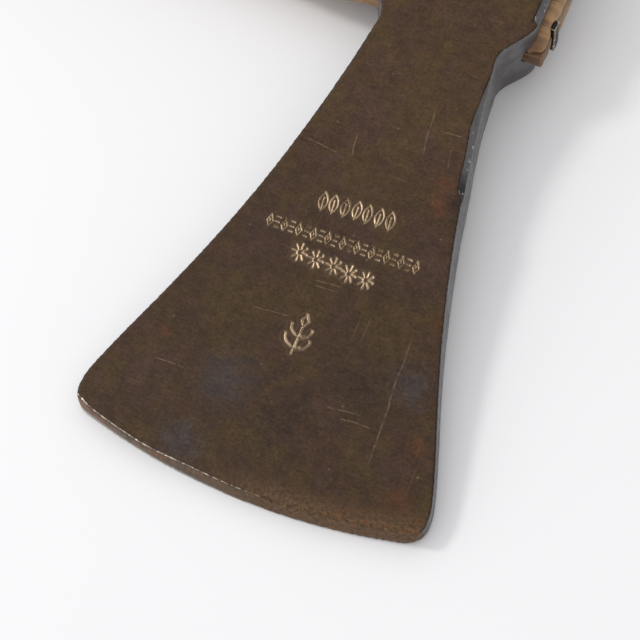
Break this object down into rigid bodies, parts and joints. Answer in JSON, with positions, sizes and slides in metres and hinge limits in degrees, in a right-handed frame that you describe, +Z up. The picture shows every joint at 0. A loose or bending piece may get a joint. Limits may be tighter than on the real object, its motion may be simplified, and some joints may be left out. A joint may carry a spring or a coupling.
{
  "type": "small broad axe",
  "caption": "One-handed broad axe lying flat back up: forged head with a flared blunt blade, narrow neck, oval eye and square poll, wedged on a swept ash haft with a knob.",
  "frame": {"origin": "on the bench, under the middle of the whole axe's box", "axes": "+X along the haft from the knob to the head, +Y from the edge to the poll, +Z up; the axe lies as it comes to rest, flat back up and sloping 8.9 degrees down to the edge"},
  "size_m": [0.426, 0.2026, 0.0355],
  "materials": {
    "patina_steel": "dark brown patina over forged steel, worn along the arrises",
    "ash_wood": "hand-worn oiled ash",
    "wedge_wood": "dark end grain, dry",
    "wedge_steel": "hammered, lightly rusted"
  },
  "bodies": {
    "root": {"axe_head": "patina_steel", "haft": "ash_wood", "eye_wedge": "wedge_wood", "cross_wedge_front": "wedge_steel", "cross_wedge_rear": "wedge_steel"}
  },
  "joints": []
}
